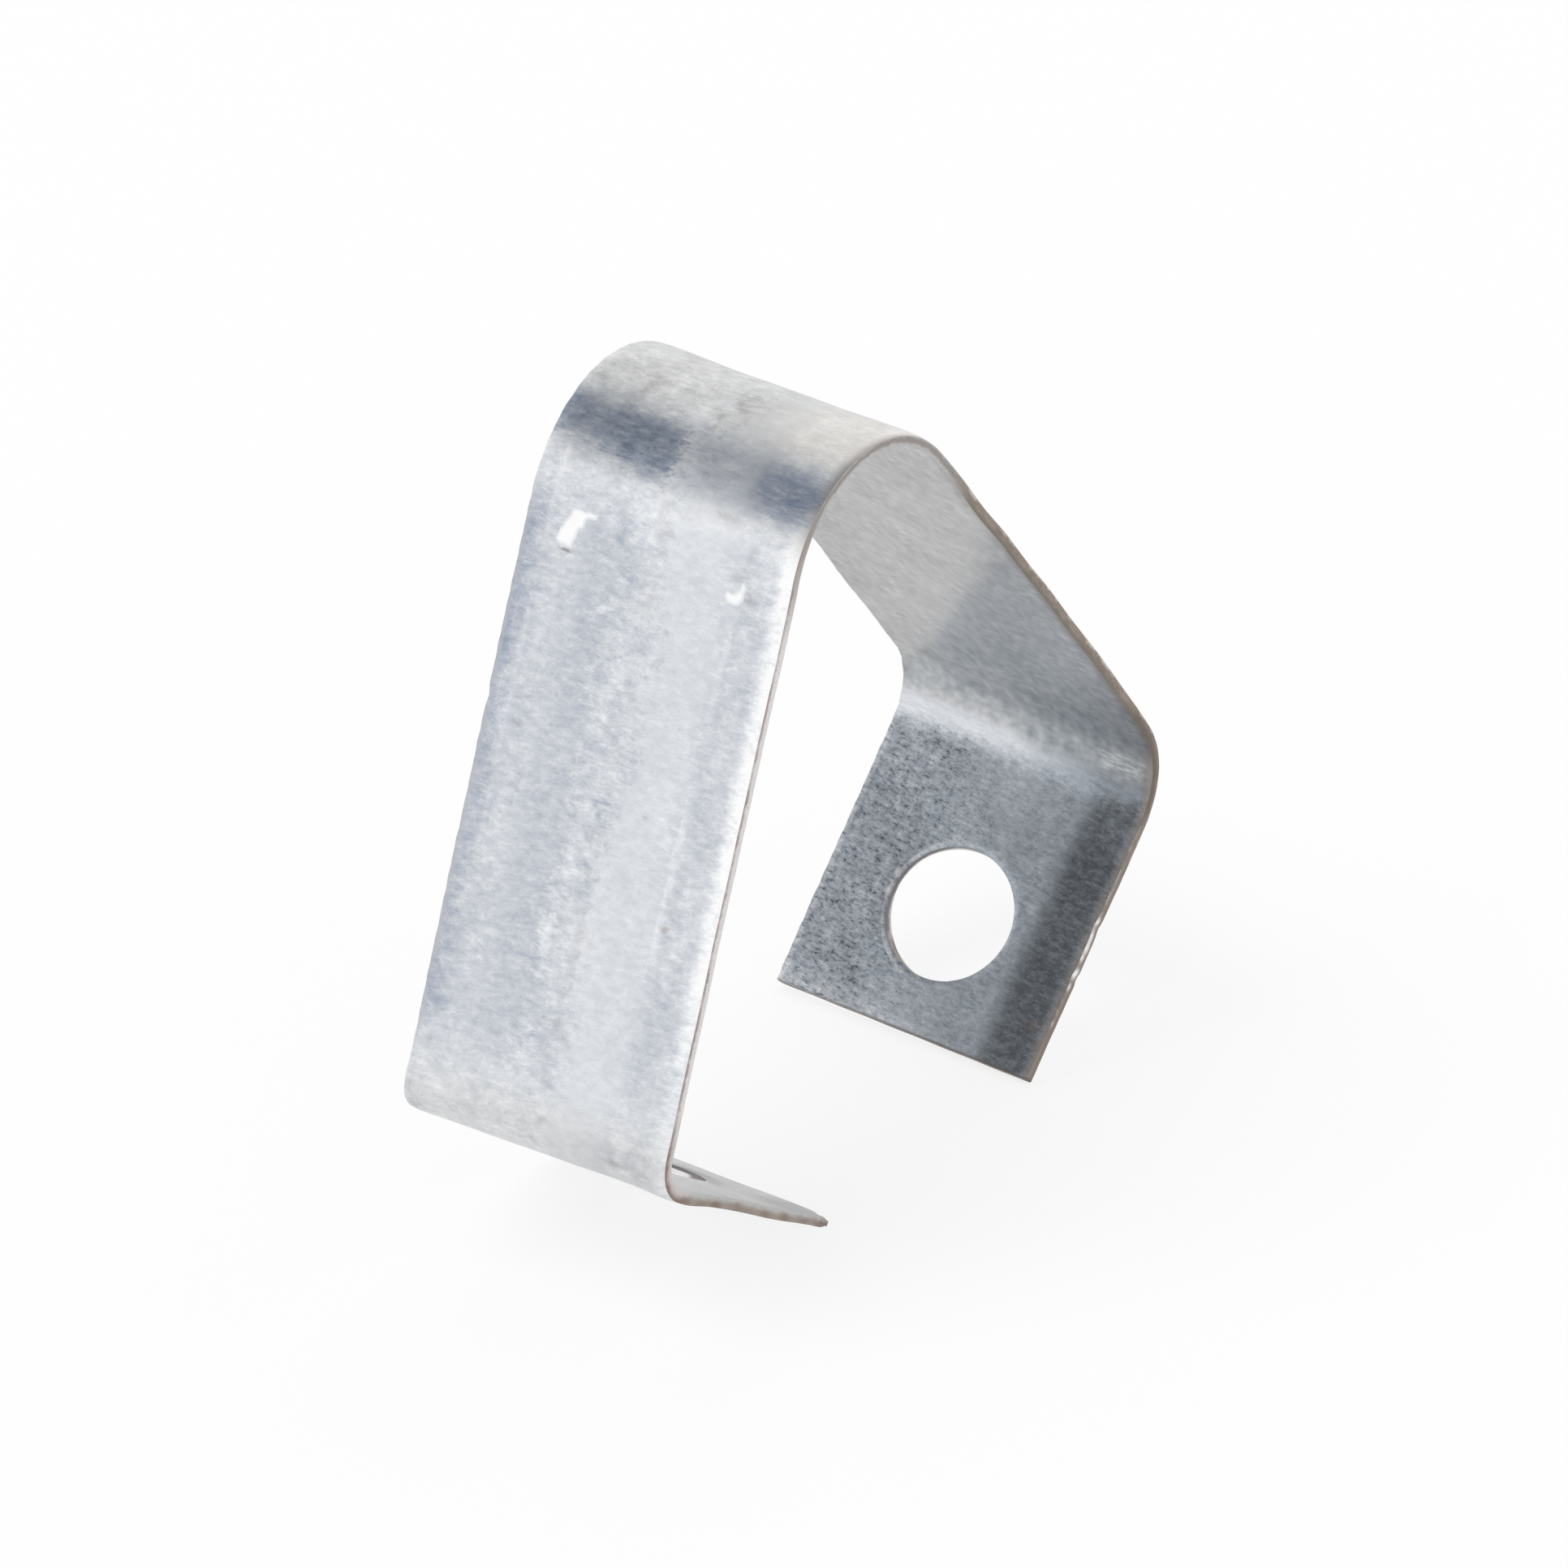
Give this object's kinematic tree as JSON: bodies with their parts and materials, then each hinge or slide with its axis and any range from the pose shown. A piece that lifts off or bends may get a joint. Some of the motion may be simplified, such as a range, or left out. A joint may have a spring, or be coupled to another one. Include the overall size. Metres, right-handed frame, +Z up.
{
  "type": "sprinkler pipe clamp",
  "caption": "Galvanized steel strap folded into a pipe clamp: a rounded pipe seat at the top, splayed straight legs, and inward-turned ears with a hole for the hanger rod.",
  "frame": {"origin": "on the pipe's axis, the centre of the seat's arc, in the middle of the strap's width", "axes": "+X along the pipe and across the strap's width, +Y from the front leg to the back leg, +Z up as the clamp stands on its two ear ends"},
  "size_m": [0.0254, 0.068, 0.0691],
  "materials": {
    "galvanized_steel": "galvanized, mottled satin zinc with bare slit edges"
  },
  "bodies": {
    "root": {"clamp_strap": "galvanized_steel"}
  },
  "joints": []
}
